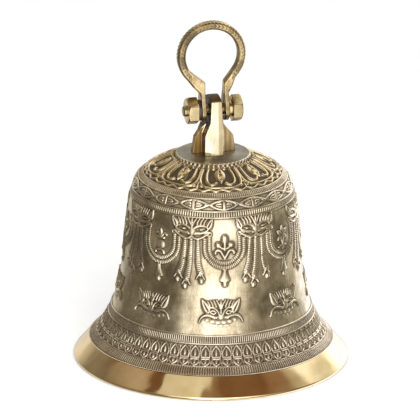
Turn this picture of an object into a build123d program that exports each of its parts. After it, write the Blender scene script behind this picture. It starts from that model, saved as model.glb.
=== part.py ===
"""Temple bell: cast bell, crown lug, shackle with bolt and nut, and clapper.

Millimetres. The origin is the centre of the mouth, +Z is up and the shackle bolt lies along X.
"""

import os
from math import exp, hypot

from build123d import *

# Bell wall: radius and height of the outer outline, from the lip up to the crown disk
LIP_RADIUS = 100.4
LIP_HEIGHT = 2.4
RIM_OUTER_RADIUS = 98.6
FLARE = [
    (LIP_RADIUS, LIP_HEIGHT),
    (97.4, 6.0),
    (89.9, 14.6),
    (83.0, 21.6),
    (78.7, 28.0),
    (74.9, 36.0),
    (71.2, 46.0),
    (68.1, 60.0),
    (65.7, 76.0),
    (62.7, 106.0),
    (60.3, 124.0),
]
SHOULDER = [
    (60.3, 124.0),
    (58.4, 131.0),
    (55.6, 137.4),
    (50.4, 142.2),
    (42.7, 146.4),
    (36.2, 149.8),
    (28.2, 153.6),
]
DISK_RADIUS = 27.2
DISK_EDGE_HEIGHT = 156.2
SEAT_RADIUS = 15.0
SEAT_HEIGHT = 157.4
WALL = 4.2
LIP_WALL = 7.0
LIP_FADE = 12.0
CEILING_RADIUS = 20.0
CEILING_HEIGHT = 149.4

# Raised rings that divide the ornament into bands: radius and height of each ring's centre
RINGS = [
    (50.3, 142.2),
    (54.1, 139.2),
    (58.3, 130.8),
    (59.8, 126.2),
    (72.9, 40.6),
    (75.2, 35.2),
    (84.0, 20.6),
    (89.3, 15.2),
]
RING_WIRE = 0.7

# Crown lug: plan of its fin, front outline of the fin, front outline of the wings, half the side
LUG_BASE = SEAT_HEIGHT
BOLT_HEIGHT = 189.6
FIN_PLAN = [(-9.0, 10.9), (-4.0, 12.4), (4.4, 12.4), (5.7, 11.4)]
FIN_FRONT = [
    (-9.0, 157.4),
    (-9.0, 172.5),
    (-4.9, 182.0),
    (-3.7, 201.0),
    (3.7, 201.0),
    (4.9, 182.0),
    (5.7, 174.0),
    (5.7, 157.4),
]
WING_FRONT = [
    (-16.2, 157.4),
    (-14.4, 169.8),
    (-9.8, 176.8),
    (-6.0, 180.5),
    (6.0, 180.5),
    (9.0, 176.0),
    (14.4, 169.8),
    (16.2, 157.4),
]
WING_HALF_WIDTH = 2.8
FIN_DEPTH = 12.4
ARCH_DEPTH = 9.2
ARCH_SPRING_HEIGHT = 197.5
ARCH_TOP_HEIGHT = 200.6

# Shackle
LOOP_LEAN = -2.2
LOOP_HEIGHT = 231.4
LOOP_OUTER = 25.6
LOOP_INNER = 19.5
STRAP_DEPTH = 7.0
STRAP_CHAMFER = 1.5
LEG_INNER = 7.1
LEG_CORNER = 211.2
THROAT_HALF_WIDTH = 15.6
EAR_OUTER = 10.4
EAR_RADIUS = 8.7
ELBOW_HALF_WIDTH = 19.0
NECK_HALF_WIDTH = 14.6
NECK_HEIGHT = 207.0
PALM_HEIGHT = 205.0

# Shackle bolt
BOLT_RADIUS = 4.0
BORE_RADIUS = 4.06
HEX_ACROSS = 18.0
NUT_INNER = -12.8
NUT_LENGTH = 7.8
WASHER_RADIUS = 7.6
COLLAR_RADIUS = 6.3
COLLAR_END = 13.2
HEAD_LENGTH = 7.1
TIP_LENGTH = 2.6
TOUCH = 0.02

# Clapper
STUD_RADIUS = 5.0
STUD_TOP = 172.5
STUD_BORE_TOP = 173.0
STAPLE_WASHER_RADIUS = 11.0
STAPLE_WASHER_THICKNESS = 2.0
STAPLE_NUT_ACROSS = 17.0
STAPLE_NUT_LENGTH = 7.0
FORK_TOP = 139.0
FORK_WIDTH = 17.0
FORK_DEPTH = 14.0
PIN_HEIGHT = 123.0
PIN_RADIUS = 3.0
PIN_END = 9.6
PIN_HEAD_RADIUS = 4.2
PIN_HEAD_LENGTH = 1.1
TONGUE_THICKNESS = 6.0
FORK_GAP = 6.6
TONGUE_RADIUS = 6.6
ROD_RADIUS = 4.2
ROD_TOP = 114.6
BALL_RADIUS = 19.0
BALL_HEIGHT = 34.0
ROD_END = 7.0
TIP_NUT_ACROSS = 13.0
TIP_NUT_LENGTH = 7.0
ROD_BORE_RADIUS = 4.22


def wall_depth(height):
    """Thickness of the bell's wall, which grows towards the lip."""
    return WALL + (LIP_WALL - WALL) * exp(-height / LIP_FADE)


def inset(outline):
    """The outline moved inwards by the wall's thickness, square to the wall."""
    moved = []
    for i, (radius, height) in enumerate(outline):
        before = outline[max(i - 1, 0)]
        after = outline[min(i + 1, len(outline) - 1)]
        across, up = after[0] - before[0], after[1] - before[1]
        step = wall_depth(height) / hypot(across, up)
        moved.append((radius - step * up, height + step * across))
    return moved


def turned(outline, start, end, rim_radius, rim_height):
    """A solid of revolution under a smooth outline, with a flat rim and a cone from start to end."""
    points = [(radius, 0, height) for radius, height in outline]
    edges = [
        Line((0, 0, rim_height), (rim_radius, 0, rim_height)),
        Line((rim_radius, 0, rim_height), points[0]),
        Spline(points),
        Line(points[-1], (start[0], 0, start[1])),
        Line((start[0], 0, start[1]), (end[0], 0, end[1])),
        Line((end[0], 0, end[1]), (0, 0, end[1])),
        Line((0, 0, end[1]), (0, 0, rim_height)),
    ]
    return revolve(Face(Wire(edges)), Axis.Z, 360)


def cylinder_x(radius, start, end, height):
    """A round bar along X between two places, on the axis at this height."""
    bar = Cylinder(radius, abs(end - start), rotation=(0, 90, 0))
    return Pos((start + end) / 2, 0, height) * bar


def ring(radius, height, wire):
    """A raised half-round ring round the bell."""
    return Pos(0, 0, height) * Torus(radius, wire)


def bell_shell():
    outer = turned(
        FLARE + SHOULDER[1:],
        (DISK_RADIUS, DISK_EDGE_HEIGHT),
        (SEAT_RADIUS, SEAT_HEIGHT),
        RIM_OUTER_RADIUS,
        0,
    )
    for radius, height in RINGS:
        outer += ring(radius, height, RING_WIRE)
    inside = inset(FLARE + SHOULDER[1:-1])
    inner = turned(
        inside[1:],
        (CEILING_RADIUS, CEILING_HEIGHT),
        (CEILING_RADIUS - 1, CEILING_HEIGHT),
        inside[0][0],
        -1,
    )
    hole = Pos(0, 0, SEAT_HEIGHT) * Cylinder(STUD_RADIUS + 0.3, 40)
    return outer - inner - hole


def crown_block():
    back = [(x, -y) for x, y in reversed(FIN_PLAN)]
    plan = make_face(Polyline(*FIN_PLAN, *back, close=True))
    fin = extrude(Pos(0, 0, LUG_BASE) * plan, 60)
    front = make_face(Plane.XZ * Polyline(*FIN_FRONT, close=True))
    side = make_face(
        Plane.YZ
        * Wire(
            [
                Line((-FIN_DEPTH, LUG_BASE), (FIN_DEPTH, LUG_BASE)),
                Line((FIN_DEPTH, LUG_BASE), (ARCH_DEPTH, ARCH_SPRING_HEIGHT)),
                ThreePointArc(
                    (ARCH_DEPTH, ARCH_SPRING_HEIGHT),
                    (0, ARCH_TOP_HEIGHT),
                    (-ARCH_DEPTH, ARCH_SPRING_HEIGHT),
                ),
                Line((-ARCH_DEPTH, ARCH_SPRING_HEIGHT), (-FIN_DEPTH, LUG_BASE)),
            ]
        )
    )
    fin = fin & extrude(front, FIN_DEPTH, both=True) & extrude(side, 20, both=True)
    wings = make_face(Plane.XZ * Polyline(*WING_FRONT, close=True))
    lug = fin + extrude(wings, WING_HALF_WIDTH, both=True)
    bore = cylinder_x(BORE_RADIUS, -20, 20, BOLT_HEIGHT)
    socket = Pos(0, 0, (LUG_BASE + STUD_BORE_TOP) / 2) * Cylinder(
        STUD_RADIUS + TOUCH, STUD_BORE_TOP - LUG_BASE
    )
    return lug - bore - socket


def strap_outline(lean):
    """The shackle's right half seen along Y; the loop's middle is moved aside by lean."""
    throat = LOOP_HEIGHT - (LOOP_INNER**2 - THROAT_HALF_WIDTH**2) ** 0.5
    elbow = LOOP_HEIGHT - (LOOP_OUTER**2 - ELBOW_HALF_WIDTH**2) ** 0.5
    return make_face(
        Plane.XZ
        * Wire(
            [
                Line((lean, LOOP_HEIGHT + LOOP_INNER), (lean, LOOP_HEIGHT + LOOP_OUTER)),
                ThreePointArc(
                    (lean, LOOP_HEIGHT + LOOP_OUTER),
                    (lean + LOOP_OUTER, LOOP_HEIGHT),
                    (lean + ELBOW_HALF_WIDTH, elbow),
                ),
                Spline(
                    (lean + ELBOW_HALF_WIDTH, elbow),
                    (lean / 3 + NECK_HALF_WIDTH, NECK_HEIGHT),
                    (EAR_OUTER, BOLT_HEIGHT + EAR_RADIUS),
                    tangents=[(-1, -1), (0, -1)],
                ),
                Line((EAR_OUTER, BOLT_HEIGHT + EAR_RADIUS), (EAR_OUTER, BOLT_HEIGHT)),
                Line((EAR_OUTER, BOLT_HEIGHT), (LEG_INNER, BOLT_HEIGHT)),
                Line((LEG_INNER, BOLT_HEIGHT), (LEG_INNER, LEG_CORNER)),
                Line((LEG_INNER, LEG_CORNER), (lean + THROAT_HALF_WIDTH, throat)),
                ThreePointArc(
                    (lean + THROAT_HALF_WIDTH, throat),
                    (lean + LOOP_INNER, LOOP_HEIGHT),
                    (lean, LOOP_HEIGHT + LOOP_INNER),
                ),
            ]
        )
    )


def shackle_half(lean):
    """The shackle's right half with its ear, the loop's middle moved aside by lean."""
    half = extrude(strap_outline(lean), STRAP_DEPTH / 2, both=True)
    loop_edges = half.edges().filter_by(GeomType.CIRCLE)
    half = chamfer(loop_edges, STRAP_CHAMFER)
    palm = make_face(
        Plane.YZ
        * Wire(
            [
                Line((-STRAP_DEPTH / 2, PALM_HEIGHT), (-EAR_RADIUS, BOLT_HEIGHT)),
                CenterArc((0, BOLT_HEIGHT), EAR_RADIUS, 180, 180),
                Line((EAR_RADIUS, BOLT_HEIGHT), (STRAP_DEPTH / 2, PALM_HEIGHT)),
                Line((STRAP_DEPTH / 2, PALM_HEIGHT), (-STRAP_DEPTH / 2, PALM_HEIGHT)),
            ]
        )
    )
    return half + Pos(LEG_INNER, 0, 0) * extrude(palm, EAR_OUTER - LEG_INNER)


def shackle():
    whole = shackle_half(LOOP_LEAN) + shackle_half(-LOOP_LEAN).mirror(Plane.YZ)
    return whole - cylinder_x(BORE_RADIUS, -20, 20, BOLT_HEIGHT)


def hexagon(across, length):
    """A hexagonal bar along Z from 0 up, flats facing X, its far corners chamfered."""
    bar = extrude(RegularPolygon(across / 2, 6, major_radius=False), length)
    corner = across / 3**0.5
    cap = Cone(corner + length, corner - 1.4, length + 1.4)
    return bar & (Pos(0, 0, (length - 1.4) / 2) * cap)


def to_left(solid, place):
    """Turns a solid that points up to point along -X from this place on the bolt's axis."""
    return Pos(place, 0, BOLT_HEIGHT) * Rot(0, -90, 0) * solid


def to_right(solid, place):
    """Turns a solid that points up to point along +X from this place on the bolt's axis."""
    return Pos(place, 0, BOLT_HEIGHT) * Rot(0, 90, 0) * solid


def shackle_bolt():
    tip = NUT_INNER - NUT_LENGTH - TIP_LENGTH
    shank = cylinder_x(BOLT_RADIUS, tip, COLLAR_END + 0.5, BOLT_HEIGHT)
    end = shank.edges().filter_by(GeomType.CIRCLE).sort_by(Axis.X)[0]
    shank = chamfer(end, 0.9)
    return shank + to_right(hexagon(HEX_ACROSS, HEAD_LENGTH), COLLAR_END)


def shackle_nut():
    nut = to_left(hexagon(HEX_ACROSS, NUT_LENGTH), NUT_INNER)
    return nut - cylinder_x(BOLT_RADIUS + TOUCH, -40, 0, BOLT_HEIGHT)


def bolt_ring(radius, start, end):
    """A flat ring on the shackle bolt."""
    outside = cylinder_x(radius, start, end, BOLT_HEIGHT)
    return outside - cylinder_x(BORE_RADIUS, start - 1, end + 1, BOLT_HEIGHT)


def nut_washer():
    return bolt_ring(WASHER_RADIUS, NUT_INNER + TOUCH, -EAR_OUTER - TOUCH)


def head_collar():
    return bolt_ring(COLLAR_RADIUS, EAR_OUTER + TOUCH, COLLAR_END - TOUCH)


def clapper_staple():
    stud_length = STUD_TOP - FORK_TOP + 1
    stud = Pos(0, 0, STUD_TOP - stud_length / 2) * Cylinder(STUD_RADIUS, stud_length)
    drop = FORK_TOP - PIN_HEIGHT
    block = Pos(0, 0, FORK_TOP - drop / 2) * Box(FORK_WIDTH, FORK_DEPTH, drop)
    half_width = FORK_WIDTH / 2
    block += cylinder_x(FORK_DEPTH / 2, -half_width, half_width, PIN_HEIGHT)
    slot_height = 2 * (TONGUE_RADIUS + 1.4)
    block -= Pos(0, 0, PIN_HEIGHT) * Box(FORK_GAP, 2 * FORK_DEPTH, slot_height)
    block -= cylinder_x(PIN_RADIUS + TOUCH, -20, 20, PIN_HEIGHT)
    return stud + block


def staple_washer():
    middle = CEILING_HEIGHT - TOUCH - STAPLE_WASHER_THICKNESS / 2
    disc = Cylinder(STAPLE_WASHER_RADIUS, STAPLE_WASHER_THICKNESS)
    hole = Cylinder(STUD_RADIUS + 0.3, STAPLE_WASHER_THICKNESS * 2)
    return Pos(0, 0, middle) * (disc - hole)


def staple_nut():
    top = CEILING_HEIGHT - STAPLE_WASHER_THICKNESS - 2 * TOUCH
    nut = Pos(0, 0, top) * Rot(180, 0, 0) * hexagon(STAPLE_NUT_ACROSS, STAPLE_NUT_LENGTH)
    return nut - Pos(0, 0, top) * Cylinder(STUD_RADIUS + TOUCH, 40)


def clapper_pin():
    pin = cylinder_x(PIN_RADIUS, -PIN_END, PIN_END, PIN_HEIGHT)
    for side in (-1, 1):
        near = side * (FORK_WIDTH / 2 + TOUCH)
        far = near + side * PIN_HEAD_LENGTH
        pin += cylinder_x(PIN_HEAD_RADIUS, near, far, PIN_HEIGHT)
    return pin


def clapper_rod():
    half = TONGUE_THICKNESS / 2
    tongue = cylinder_x(TONGUE_RADIUS, -half, half, PIN_HEIGHT)
    neck_length = PIN_HEIGHT - ROD_TOP
    neck = Pos(0, 0, PIN_HEIGHT - neck_length / 2)
    tongue += neck * Box(TONGUE_THICKNESS, 2 * ROD_RADIUS, neck_length)
    tongue -= cylinder_x(PIN_RADIUS + 0.05, -20, 20, PIN_HEIGHT)
    length = ROD_TOP - ROD_END
    rod = Pos(0, 0, ROD_END + length / 2) * Cylinder(ROD_RADIUS, length)
    return tongue + rod


def clapper_ball():
    middle = Pos(0, 0, BALL_HEIGHT)
    bore = Cylinder(ROD_BORE_RADIUS, 4 * BALL_RADIUS)
    return middle * (Sphere(BALL_RADIUS) - bore)


def clapper_tip():
    top = BALL_HEIGHT - (BALL_RADIUS**2 - ROD_BORE_RADIUS**2) ** 0.5 - 1.6
    nut = Pos(0, 0, top) * Rot(180, 0, 0) * hexagon(TIP_NUT_ACROSS, TIP_NUT_LENGTH)
    return nut - Pos(0, 0, top) * Cylinder(ROD_BORE_RADIUS, 40)


PARTS = [
    bell_shell,
    crown_block,
    shackle,
    shackle_bolt,
    shackle_nut,
    nut_washer,
    head_collar,
    clapper_staple,
    staple_washer,
    staple_nut,
    clapper_pin,
    clapper_rod,
    clapper_ball,
    clapper_tip,
]

os.makedirs("parts", exist_ok=True)
for make in PARTS:
    export_step(make(), "parts/" + make.__name__ + ".step")
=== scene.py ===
"""Temple bell with relief ornament, polished lip, lug, shackle and clapper, in a plain pale studio.

Lengths are millimetres and angles degrees, unless a comment says otherwise. Angles round the bell
are counted the way the +X axis turns towards +Y.
"""

import math

import bpy
import numpy as np
from mathutils import Matrix, Vector


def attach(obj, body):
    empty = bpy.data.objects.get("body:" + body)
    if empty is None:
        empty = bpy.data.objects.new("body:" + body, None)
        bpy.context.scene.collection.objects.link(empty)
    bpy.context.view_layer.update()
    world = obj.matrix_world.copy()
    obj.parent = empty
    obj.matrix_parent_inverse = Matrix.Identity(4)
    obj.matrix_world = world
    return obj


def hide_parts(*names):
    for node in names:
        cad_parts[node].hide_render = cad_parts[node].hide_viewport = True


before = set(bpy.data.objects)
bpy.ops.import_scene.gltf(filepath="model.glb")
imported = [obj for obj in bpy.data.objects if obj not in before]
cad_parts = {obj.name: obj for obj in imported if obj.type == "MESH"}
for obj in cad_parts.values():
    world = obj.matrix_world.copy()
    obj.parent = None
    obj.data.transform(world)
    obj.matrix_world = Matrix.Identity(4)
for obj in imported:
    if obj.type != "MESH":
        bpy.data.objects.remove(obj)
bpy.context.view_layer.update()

MM = 0.001

# Where the camera stands: to the left of the bell's front, and above the horizon
CAMERA_AZIMUTH = -15.0
CAMERA_ELEVATION = 19.2

# The ornament repeats CELLS times round the bell; these are the middles of one mask in each row
CELLS = 8
MASK_AZIMUTH = CAMERA_AZIMUTH - 90.0 - 14.1
LOWER_MASK_AZIMUTH = MASK_AZIMUTH + 19.9

# Outer outline of the wall from the lip up to the crown disk: radius and height
OUTLINE = [
    (100.4, 2.4),
    (97.4, 6.0),
    (89.9, 14.6),
    (83.0, 21.6),
    (78.7, 28.0),
    (74.9, 36.0),
    (71.2, 46.0),
    (68.1, 60.0),
    (65.7, 76.0),
    (62.7, 106.0),
    (60.3, 124.0),
    (58.4, 131.0),
    (55.6, 137.4),
    (50.4, 142.2),
    (42.7, 146.4),
    (36.2, 149.8),
    (28.2, 153.6),
]

# Heights at which one ornamental band ends and the next begins
LIP_TOP = 15.2
FOOT_TOP = 41.2
LOWER_WALL_TOP = 69.0
MID_WALL_TOP = 96.0
WALL_TOP = 126.2
BELT_TOP = 142.2
SHOULDER_TOP = 153.6

# Fineness of the relief: columns round the bell, and the height of a row
WALL_FINENESS = (1040, 0.42)
FOOT_FINENESS = (1216, 0.46)


# ---------------------------------------------------------------- curves and relief strokes


def smooth_path(points, steps=10):
    """A Catmull-Rom curve through the points."""
    p = np.array(points, float)
    ends = np.vstack([2 * p[0] - p[1], p, 2 * p[-1] - p[-2]])
    path = []
    for a, b, c, d in zip(ends, ends[1:], ends[2:], ends[3:]):
        for t in np.arange(steps) / steps:
            path.append(
                b
                + (c - a) * t / 2
                + (a - 2.5 * b + 2 * c - d / 2) * t * t
                + (1.5 * (b - c) + (d - a) / 2) * t**3
            )
    path.append(p[-1])
    return np.array(path)


def hump(ratio):
    """Cross-section of a ridge: 1 on its centre line, 0 at its edges."""
    return np.clip(1 - ratio**2, 0, 1)


def along_path(x, y, path):
    """Distance from each point to a path, how far along its nearest place is, and the path's length."""
    nearest = np.full(x.shape, 1e9)
    place = np.zeros(x.shape)
    total = 0.0
    for (ax, ay), (bx, by) in zip(path, path[1:]):
        length = math.hypot(bx - ax, by - ay)
        if length < 1e-9:
            continue
        t = np.clip(((x - ax) * (bx - ax) + (y - ay) * (by - ay)) / length**2, 0, 1)
        away = np.hypot(x - ax - t * (bx - ax), y - ay - t * (by - ay))
        closer = away < nearest
        nearest = np.where(closer, away, nearest)
        place = np.where(closer, total + t * length, place)
        total += length
    return nearest, place, total


def stroke(x, y, points, width, height, end_width=None, ribs=0.0):
    """A raised line through points, width to either side of it; ribs is the pitch of its cross ribs."""
    away, place, length = along_path(x, y, smooth_path(points))
    last = width if end_width is None else end_width
    half = width + (last - width) * place / max(length, 1e-6)
    raised = height * hump(away / half) ** 0.75
    if ribs:
        raised = np.sqrt(raised * height) * (0.64 + 0.36 * np.cos(2 * math.pi * place / ribs))
    return raised


def dome(x, y, cx, cy, rx, ry, height):
    """A raised round or oval boss."""
    return height * hump(np.hypot((x - cx) / rx, (y - cy) / ry))


def leaf(x, y, base, tip, width, height, vein=0.0):
    """A leaf from base to tip, widest a third of the way up; vein is how deep its vein is sunk."""
    (ax, ay), (bx, by) = base, tip
    length = math.hypot(bx - ax, by - ay)
    ux, uy = (bx - ax) / length, (by - ay) / length
    t = ((x - ax) * ux + (y - ay) * uy) / length
    across = (x - ax) * -uy + (y - ay) * ux
    inside = np.clip(t, 0, 1)
    half = width * 2.6 * np.sqrt(inside) * (1 - inside) + 1e-6
    raised = height * hump(across / half) ** 0.65 * (t > 0) * (t < 1)
    if vein:
        raised = raised - vein * hump(across / (0.25 * half)) * (t > 0.1) * (t < 0.85)
    return np.clip(raised, 0, None)


def ribs_round(x, y, low, high, pitch, height):
    """A band of short upright ribs between two heights."""
    body = np.clip(hump((2 * y - low - high) / (high - low)) * 2.4, 0, 1)
    return height * body * (0.5 + 0.5 * np.cos(2 * math.pi * x / pitch))


def merged(*heights):
    """The highest of several reliefs at each point."""
    return np.maximum.reduce(heights)


# ---------------------------------------------------------------- ornament of each band


# Each relief takes x, across from the middle of its cell, and y: the distance up the surface from
# the lower edge of the foot, belt or shoulder, and the height above the floor on the wall. half is
# half the width of a cell.


def shoulder_relief(x, y, half):
    """Lotus petals round the shoulder, with a bud in each petal and a trefoil between petals."""
    side = np.abs(x)
    bud = half - side
    outer = [(14.6, 25), (14.9, 17), (14.5, 11), (12.2, 6.4), (7.6, 4.5), (0.0, 4.2)]
    inner = [(9.6, 25), (10.4, 18), (10.2, 12.6), (8.8, 9.0), (6.2, 7.3), (3.9, 8.3)]
    petals = merged(
        stroke(bud, y, outer, 1.7, 1.5, 0.9),
        stroke(bud, y, inner, 1.65, 1.5, 1.2),
        dome(bud, y, 3.4, 9.2, 1.7, 1.6, 1.5),
        leaf(bud, y, (0, 22.8), (0, 8.6), 4.6, 1.5, 0.9),
        dome(bud, y, 0, 14.6, 3.6, 4.4, 1.4),
        stroke(bud, y, [(0.0, 19.0), (2.0, 16.0), (1.6, 12.6), (0.0, 11.4)], 0.6, 1.7),
        dome(side, y, 0, 9.0, 1.8, 1.9, 1.3),
        dome(side, y, 2.5, 6.0, 1.8, 1.6, 1.3),
        stroke(side, y, [(0.0, 7.0), (0.0, 3.6)], 0.8, 1.0),
    )
    wave = 2.0 + 0.8 * np.cos(4 * math.pi * x / half)
    scallops = 1.2 * hump((y - wave) / 1.1)
    petals = petals * np.clip((23.6 - y) / 0.8, 0, 1)
    return merged(petals, scallops, ribs_round(x, y, 22.6, 26.4, half / 3, 1.4))


BELT_MIDDLE = 9.5
LENS_HALF_HEIGHT = 3.3


def belt_relief(x, y, half):
    """A chain of crossed lenses between two ribbed lines and four raised rings."""
    link = (x + half / 2) % half - half / 2
    side = np.abs(link)
    rise = y - BELT_MIDDLE
    swing = LENS_HALF_HEIGHT * np.abs(np.cos(math.pi * link / half))
    grooves = merged(
        hump((side - 1.45) / 0.5),
        hump((np.hypot(side / 7.0, rise / 2.0) - 1) / 0.2) * (side > 1.4),
        hump(rise / 0.5) * (side > 2.2) * (side < 5.4),
    )
    plateau = np.clip((swing - np.abs(rise)) / 0.5 + 0.3, 0, 1)
    lenses = merged(
        0.95 * plateau - 0.8 * grooves * plateau,
        0.95 * hump((np.abs(rise) - swing) / 0.75),
    )
    return merged(
        lenses,
        ribs_round(x, y, 0.9, 4.4, half / 13, 0.55),
        ribs_round(x, y, 14.6, 18.4, half / 13, 0.55),
        0.7 * hump((y - 4.85) / 0.55),
        0.7 * hump((y - 14.2) / 0.5),
        0.6 * hump((y - 0.3) / 0.6),
        0.6 * hump((y - 18.8) / 0.6),
    )


GARLAND_CENTRE = 104.5
GARLAND_HALF_WIDTH = 1.5
RIB_PITCH = 1.4


def garland(inner, y, reach, top):
    """One ribbed strand hung in a U, round below its centre; inner is measured from its middle."""
    below = np.minimum(y - GARLAND_CENTRE, 0)
    away = np.abs(np.hypot(inner, below) - reach)
    round_part = reach * np.arctan2(inner, -below + 1e-9)
    straight_part = reach * math.pi / 2 + y - GARLAND_CENTRE
    along = np.where(y < GARLAND_CENTRE, round_part, straight_part)
    ribs = 0.62 + 0.38 * np.cos(2 * math.pi * along / RIB_PITCH)
    return 1.1 * np.sqrt(hump(away / GARLAND_HALF_WIDTH)) * ribs * (y < top)


def beast_mask(x, y):
    """The beast mask that holds the garlands in its grin, at the top of the wall."""
    side = np.abs(x)
    grin = [(0.0, 112.9), (1.8, 111.6), (4.0, 110.9), (6.8, 111.6), (10.0, 113.4), (13.0, 115.4)]
    lines = merged(
        dome(side, y, 0, 116.6, 3.4, 4.6, 1.1),
        stroke(side, y, [(1.6, 118.6), (4.6, 120.3), (8.2, 120.6), (11.6, 119.4)], 1.25, 1.05, 0.7),
        stroke(side, y, [(3.2, 115.2), (6.6, 115.2), (10.0, 116.4), (12.2, 117.8)], 1.3, 0.95, 0.7),
        dome(side, y, 6.6, 117.8, 1.7, 0.7, 0.75),
        dome(side, y, 2.4, 114.6, 1.5, 1.1, 1.1),
        stroke(side, y, [(0.0, 118.0), (0.0, 121.6)], 1.2, 1.0, 0.7),
        stroke(side, y, [(0.6, 120.6), (1.5, 122.8), (3.3, 125.8)], 0.9, 1.0, 0.5),
        leaf(side, y, (0.0, 121.4), (0.0, 126.2), 1.0, 0.95),
        stroke(side, y, grin, 0.85, 1.1),
        stroke(side, y, [(9.6, 115.0), (12.6, 116.2), (14.6, 115.4), (14.4, 113.4)], 0.7, 0.95, 0.5),
        leaf(side, y, (11.6, 118.4), (15.6, 126.2), 2.9, 1.2, 0.7),
    )
    for i in range(3):
        root = 4.6 + 2.5 * i
        tuft = [(root - 0.6, 121.6), (root, 123.6), (root + 1.3, 125.8 - 0.3 * i)]
        lines = merged(lines, stroke(side, y, tuft, 0.85, 0.95, 0.4))
    return lines


def strand(x, y, points, ball):
    """A ribbed ribbon hanging from the mask, ending in two prongs over a ball."""
    end_x, end_y = points[-1]
    raised = merged(
        stroke(x, y, points, 1.35, 1.05, 2.5, ribs=RIB_PITCH),
        dome(x, y, *ball, 2.3, 2.6, 1.4),
    )
    for way in (-1, 1):
        prong = [(end_x, end_y + 1), (end_x + 1.6 * way, end_y - 1.8), (end_x + 3.2 * way, end_y - 4.4)]
        raised = merged(raised, stroke(x, y, prong, 1.1, 1.0, 0.5))
    return raised


TASSEL_TOP = 88.6


def upper_wall_relief(x, y, half):
    """Beast masks joined by double ribbed garlands, with ribbons hanging under each mask."""
    inner = half - np.abs(x)
    flare = np.clip((TASSEL_TOP - y) / 9.0, 0, 1)
    tassel = hump(inner / (2.0 + 3.4 * flare**2)) * (y < TASSEL_TOP) * (y > 79.2 + 0.06 * inner**2)
    hung = merged(
        garland(inner, y, 11.2, 113.5),
        garland(inner, y, 14.6, 111.5),
        strand(x, y, [(-0.3, 110.2), (-0.5, 100), (-1.2, 90), (-2.8, 81)], (-3.8, 75.6)),
        strand(x, y, [(4.8, 110.2), (5.0, 100), (5.9, 92), (7.7, 85.6)], (8.4, 80.0)),
        strand(x, y, [(-4.9, 110.2), (-5.4, 100), (-6.9, 92), (-9.1, 85.6)], (-9.8, 80.0)),
        tassel,
        stroke(inner, y, [(0.0, 88.0), (0.0, 82.0)], 0.7, 1.25),
        dome(inner, y, 0, 77.8, 2.5, 2.6, 1.4),
    )
    return merged(hung, beast_mask(x, y), 0.6 * hump((y - 126.4) / 0.7))


def lower_wall_relief(x, y, half):
    """Broad beast masks low on the wall."""
    side = np.abs(x)
    face = dome(x, y, 0, 55, 12, 7, 0.35)
    grin = [(4.8, 53.6), (7.6, 54.7), (11.0, 55.0), (14.2, 53.2), (15.9, 49.8)]
    lines = merged(
        leaf(side, y, (8.8, 56.6), (14.6, 67.0), 3.1, 1.15, 0.7),
        stroke(side, y, [(1.5, 55.8), (2.6, 58.2), (5.6, 60.6), (9.4, 60.4)], 0.85, 1.0, 0.6),
        stroke(side, y, [(3.6, 56.8), (5.6, 58.4), (7.8, 57.2), (5.6, 56.0), (3.6, 56.8)], 0.42, 0.7),
        dome(side, y, 0, 54.4, 2.9, 2.6, 1.1),
        dome(side, y, 3.3, 53.6, 1.3, 1.2, 0.9),
        stroke(side, y, [(0.0, 57.0), (0.0, 61.0)], 1.0, 0.8, 0.5),
        stroke(side, y, grin, 1.5, 1.15, 0.5),
        dome(side, y, 2.3, 50.0, 2.2, 1.3, 0.5),
        dome(side, y, 6.6, 50.6, 2.1, 1.4, 0.5),
        dome(side, y, 10.4, 51.6, 1.6, 1.2, 0.4),
        dome(side, y, 0.0, 47.6, 1.8, 1.0, 0.35),
        dome(side, y, 4.2, 47.8, 2.0, 1.0, 0.35),
        stroke(side, y, [(0.6, 60.4), (1.5, 62.8), (3.6, 66.4)], 0.8, 0.95, 0.35),
        leaf(side, y, (0.0, 61.2), (0.0, 66.8), 0.9, 0.9),
    )
    for i in range(3):
        root = 4.0 + 2.3 * i
        tuft = [(root - 0.5, 61.4), (root + 0.3, 63.6), (root + 1.7, 66.2 - 0.5 * i)]
        lines = merged(lines, stroke(side, y, tuft, 0.8, 0.95, 0.35))
    return face + lines


def foot_relief(x, y, half):
    """Pairs of lotus petals, tip up and tip down, between ribbed lines."""
    width = half / 4
    step = (x + width / 2) % width - width / 2
    side = np.abs(step)
    petals = merged(
        stroke(side, y, [(3.0, 15.7), (3.15, 17.6), (2.2, 20.4), (0.0, 23.2)], 0.6, 0.8),
        leaf(side, y, (0, 16.0), (0, 21.4), 1.15, 0.8),
        stroke(side, y, [(3.0, 12.5), (2.9, 11.2), (1.9, 9.7), (0.0, 8.4)], 0.6, 0.8),
        leaf(side, y, (0, 12.6), (0, 9.4), 1.1, 0.8),
        0.7 * hump((y - 14.75) / 0.55) * (side < 3.1),
        0.7 * hump((y - 13.45) / 0.55) * (side < 3.1),
        leaf(side, y, (width / 2, 17.2), (width / 2, 22.8), 0.55, 0.5),
        leaf(side, y, (width / 2, 11.6), (width / 2, 8.6), 0.5, 0.5),
    )
    return merged(
        petals,
        ribs_round(x, y, 0.8, 7.2, half / 19, 0.6),
        ribs_round(x, y, 24.9, 30.0, half / 19, 0.6),
        0.6 * hump((y - 7.7) / 0.45),
        0.6 * hump((y - 24.5) / 0.5),
        0.9 * hump((y - 30.5) / 0.8),
        0.6 * hump((y - 0.2) / 0.6),
    )


# The emblems hang inside the garlands, centred on x = 0


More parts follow.
